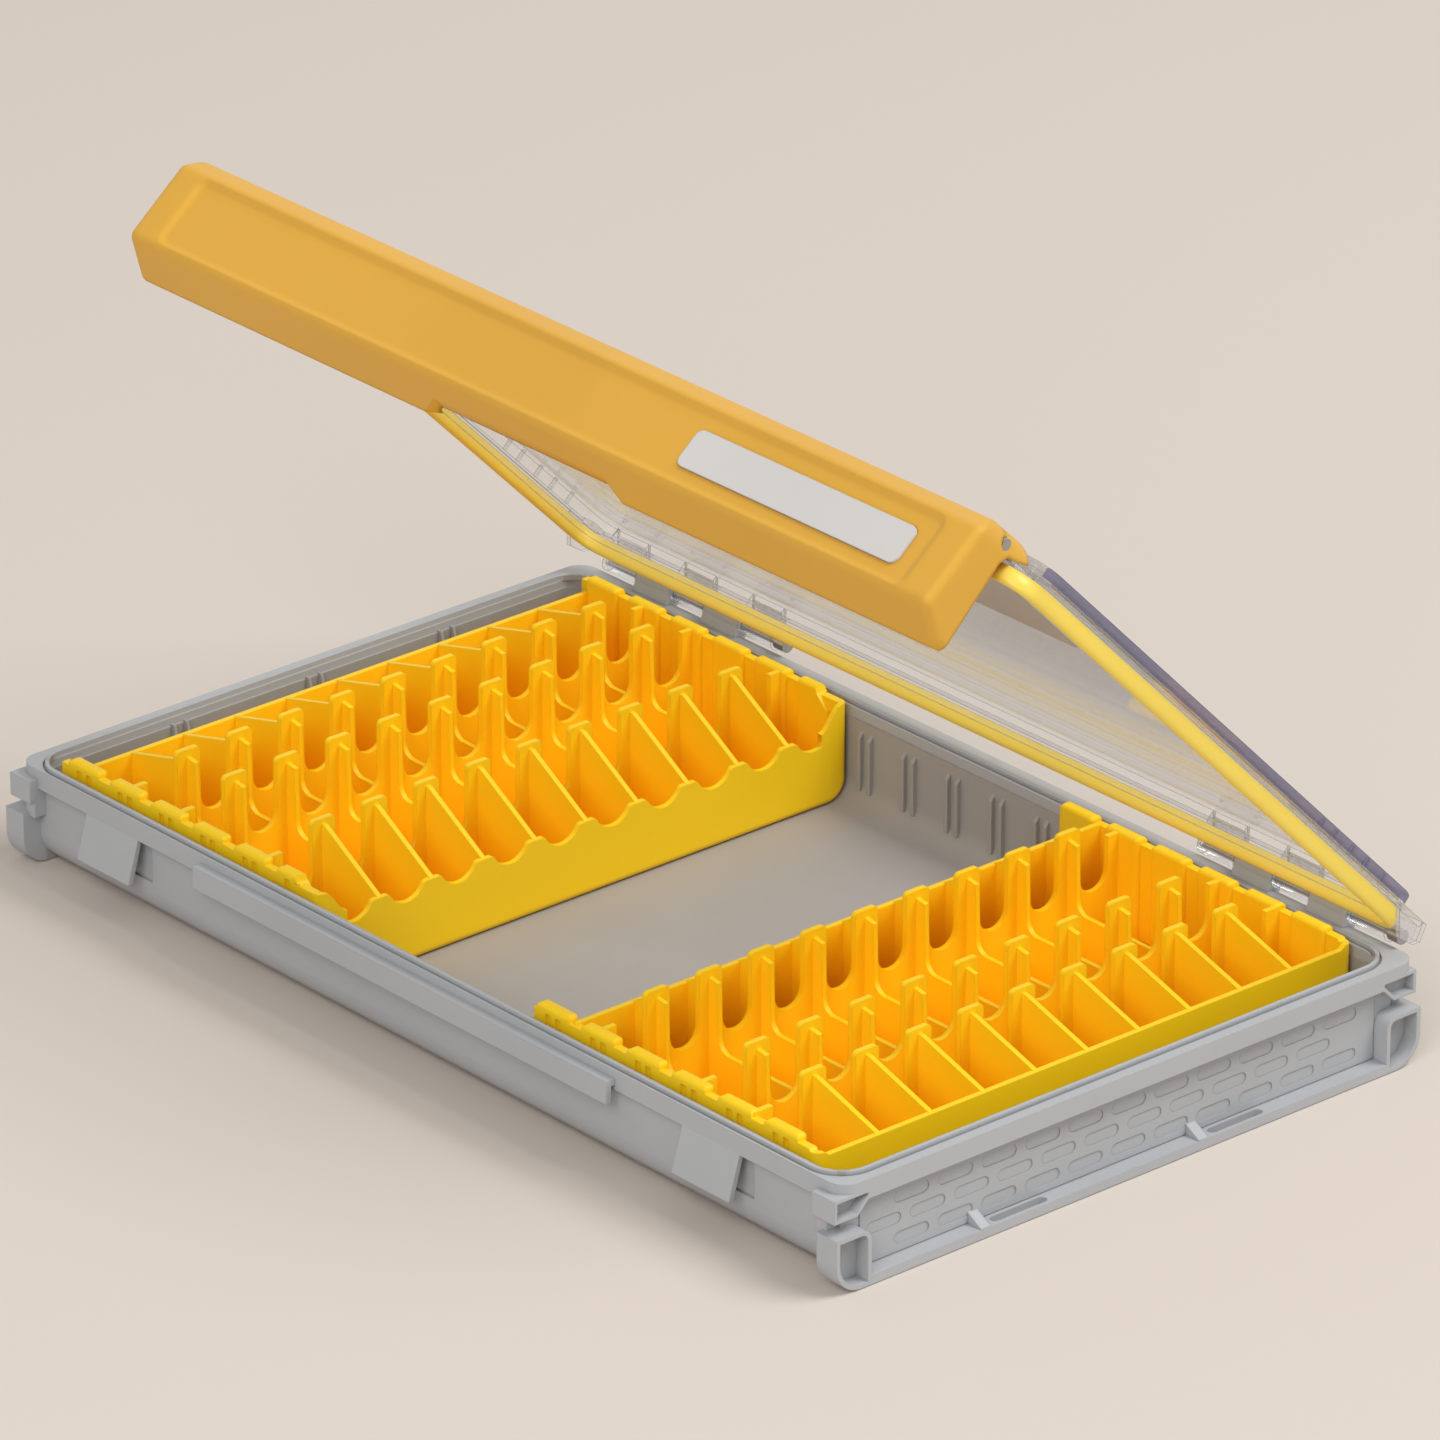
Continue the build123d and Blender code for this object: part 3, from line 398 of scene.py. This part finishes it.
def add_light():
    """Large soft key from behind on the right, with fill all round."""
    centre = (0, 0, 0.05)
    add_area("key", (2.1, 1.8, 3.9), centre, 2.8, 138.0)
    add_area("fill", (1.8, -3.3, 2.7), centre, 2.8, 78.0)
    world = bpy.data.worlds.new("world")
    world.use_nodes = True
    nodes, links = world.node_tree.nodes, world.node_tree.links
    plain = nodes["Background"]
    plain.inputs["Color"].default_value = (*world_tone, 1)
    plain.inputs["Strength"].default_value = world_strength
    seen = nodes.new("ShaderNodeBackground")
    seen.inputs["Color"].default_value = (*world_tone, 1)
    seen.inputs["Strength"].default_value = seen_strength
    path = nodes.new("ShaderNodeLightPath")
    camera_or_gloss = nodes.new("ShaderNodeMath")
    camera_or_gloss.operation = "MAXIMUM"
    links.new(path.outputs["Is Camera Ray"], camera_or_gloss.inputs[0])
    links.new(path.outputs["Is Glossy Ray"], camera_or_gloss.inputs[1])
    any_sight = nodes.new("ShaderNodeMath")
    any_sight.operation = "MAXIMUM"
    links.new(camera_or_gloss.outputs["Value"], any_sight.inputs[0])
    links.new(path.outputs["Is Transmission Ray"], any_sight.inputs[1])
    both = nodes.new("ShaderNodeMixShader")
    links.new(any_sight.outputs["Value"], both.inputs["Fac"])
    links.new(plain.outputs["Background"], both.inputs[1])
    links.new(seen.outputs["Background"], both.inputs[2])
    links.new(both.outputs["Shader"], nodes["World Output"].inputs["Surface"])
    bpy.context.scene.world = world


def closed_box(node):
    """Lowest and highest corners of a piece of the lid, turned back to where it lies when closed."""
    back = lid_open.inverted()
    points = [back @ vertex.co for vertex in frame["nodes"][node].data.vertices]
    low = Vector([min(p[i] for p in points) for i in range(3)])
    high = Vector([max(p[i] for p in points) for i in range(3)])
    return low, high


def round_path(half_x, half_y, radius, steps=10):
    """Points and outward directions round a rounded rectangle."""
    path = []
    for quarter in range(4):
        sign_x = (1, -1, -1, 1)[quarter]
        sign_y = (1, 1, -1, -1)[quarter]
        centre = Vector((sign_x * (half_x - radius), sign_y * (half_y - radius), 0))
        for step in range(steps + 1):
            angle = math.pi / 2 * (quarter + step / steps)
            out = Vector((math.cos(angle), math.sin(angle), 0))
            path.append((centre + out * radius, out))
    return path


def add_seal():
    """Bulb seal that runs round under the lid's flange."""
    low, high = closed_box("lid_seal")
    spare = (seal_bed - seal_width) / 2
    path = round_path(high.x - spare, high.y - spare, seal_corner)
    top, bottom = high.z, low.z + seal_lift
    section = [(0, top)]
    for step in range(9):
        angle = math.pi * step / 8
        inward = seal_width / 2 * (1 - math.cos(angle))
        section.append((inward, bottom + seal_round * (1 - math.sin(angle))))
    section.append((seal_width, top))
    points, faces = [], []
    for place, out in path:
        for inward, z in section:
            points.append(lid_open @ Vector((*(place - out * inward).xy, z)))
    count = len(section)
    for i in range(len(path)):
        here, ahead = i * count, (i + 1) % len(path) * count
        for k in range(count):
            following = (k + 1) % count
            faces.append((here + k, here + following, ahead + following, ahead + k))
    seal = add_mesh("seal_bulb", points, faces, smooth=True)
    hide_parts("lid_seal")
    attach(seal, "lid")
    paint(seal, seal_yellow)


def add_loop(curve, outline):
    """Closed straight-sided loop in a flat curve."""
    spline = curve.splines.new("POLY")
    spline.points.add(len(outline) - 1)
    for point, (u, v) in zip(spline.points, outline):
        point.co = (u, v, 0, 1)
    spline.use_cyclic_u = True


def pill_outline(end, middle):
    """Rounded slot whose far end is at the given place."""
    radius = pill_height / 2
    points = []
    for centre, start in ((end - radius, -90), (end - pill_length + radius, 90)):
        for step in range(9):
            angle = math.radians(start + step * 22.5)
            points.append((centre + radius * math.cos(angle), middle + radius * math.sin(angle)))
    return points


def pill_ends(first):
    """Far ends of the slots of one row."""
    count = int((panel_half_length - 0.002 - first) / pill_pitch) + 1
    return [first + i * pill_pitch for i in range(count)]


def add_end_panel(side):
    """Raised skin on one end wall, with rows of shallow slots, the top one half hidden by the rim."""
    name = f"end_panel_{'right' if side > 0 else 'left'}"
    curve = bpy.data.curves.new(name, "CURVE")
    curve.dimensions = "2D"
    curve.fill_mode = "BOTH"
    curve.extrude = panel_depth / 2
    border = [(-panel_half_length, panel_high), (-panel_half_length, panel_low),
              (panel_half_length, panel_low), (panel_half_length, panel_high)]
    for end in reversed(pill_ends(top_row[1])):
        dip = [point for point in pill_outline(end, top_row[0]) if point[1] < panel_high]
        dip.sort(reverse=True)
        border += [(dip[0][0], panel_high), *dip, (dip[-1][0], panel_high)]
    add_loop(curve, border)
    for middle, first in pill_rows:
        for end in pill_ends(first):
            add_loop(curve, pill_outline(end, middle))
    flat = bpy.data.objects.new(f"{name}_outline", curve)
    bpy.context.collection.objects.link(flat)
    graph = bpy.context.evaluated_depsgraph_get()
    mesh = bpy.data.meshes.new_from_object(flat.evaluated_get(graph))
    bpy.data.objects.remove(flat)
    turn = Matrix(((0, 0, side, 0), (side, 0, 0, 0), (0, 1, 0, 0), (0, 0, 0, 1)))
    mesh.transform(Matrix.Translation((side * (wall_x + panel_depth / 2), 0, 0)) @ turn)
    mesh.name = name
    panel = bpy.data.objects.new(name, mesh)
    bpy.context.collection.objects.link(panel)
    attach(panel, "base")
    paint(panel, tub_grey)


def add_rack_corner(node, end):
    """Rounded corner in which an end plate of a rack comes down to the front wall, open where it sits in them."""
    wall_top, run, fall = rack_corners[node]
    low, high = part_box(node)
    x, y = high.x + proud, high.y + proud
    r = corner_radius
    stations = [(x - run, y, 0, 1, corner_top), (x - r, y, 0, 1, corner_top)]
    for step in range(1, 7):
        angle = math.pi / 2 * (1 - step / 6)
        out = (math.cos(angle), math.sin(angle))
        stations.append((x - r + r * out[0], y - r + r * out[1], *out, corner_top))
    for step in range(1, 7):
        share = step / 6
        drop = share * share * (3 - 2 * share)
        stations.append((x, y - r - fall * share, 1, 0, corner_top - (corner_top - wall_top) * drop))
    points, faces = [], []
    floor = wall_top - 0.003
    for sx, sy, ox, oy, top in stations:
        thick = plate_thickness * oy + wall_thickness * ox
        for depth in (0.0, min(thick, plate_thickness)):
            for z in (floor, top):
                points.append(Vector((sx - ox * depth, end * (sy - oy * depth), z)))
    for i in range(len(stations) - 1):
        a, b = 4 * i, 4 * i + 4
        faces += [(a, b, b + 1, a + 1), (a + 2, a + 3, b + 3, b + 2), (a + 1, b + 1, b + 3, a + 3)]
    corner = add_mesh(f"{node}_corner_{'rear' if end > 0 else 'front'}", points, faces)
    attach(corner, "base")
    paint(corner, rack_yellow)


add_camera()
add_floor()
add_light()
scene = bpy.context.scene
scene.view_settings.view_transform = "Standard"
scene.cycles.transparent_max_bounces = 32
scene.cycles.diffuse_bounces = 8

# The tub's grey carries painted shade in its creases and a darker, warmer painted shade between its inner walls
tub_grey = moulded("tub_grey", (0.44, 0.455, 0.473), 0.5, crease=0.25, inside=(0.86, 0.80, 0.74))
rack_yellow = moulded("rack_yellow", (1.0, 0.65, 0.009), 0.42, coarse=0.015, shine=0.25)
latch_yellow = moulded("latch_yellow", (0.73, 0.395, 0.043), 0.45, edge=0.0018)
seal_yellow = moulded("seal_yellow", (0.90, 0.68, 0.10), 0.35)
label_pale = moulded("label_pale", (0.655, 0.635, 0.62), 0.6)
plate_grey = moulded("plate_grey", (0.45, 0.47, 0.48), 0.5)
# Its last colour is the painted shade on the lid's right side wall
clear = clear_plastic("clear_plastic", (0.975, 0.976, 0.98), 0.018, (0.13, 0.12, 0.22))
wire = steel("steel_wire")

finishes = {
    "base_tub": tub_grey, "rack_left": rack_yellow, "rack_right": rack_yellow,
    "hinge_pin_left": wire, "hinge_pin_right": wire, "latch_pin_left": wire, "latch_pin_right": wire,
    "lid_panel": clear, "moisture_plate": plate_grey, "latch_bar": latch_yellow,
    "label_plate": label_pale,
}
for node, finish in finishes.items():
    paint(frame["nodes"][node], finish)

add_seal()
for side in (-1, 1):
    add_end_panel(side)
    for node in rack_corners:
        add_rack_corner(node, side)
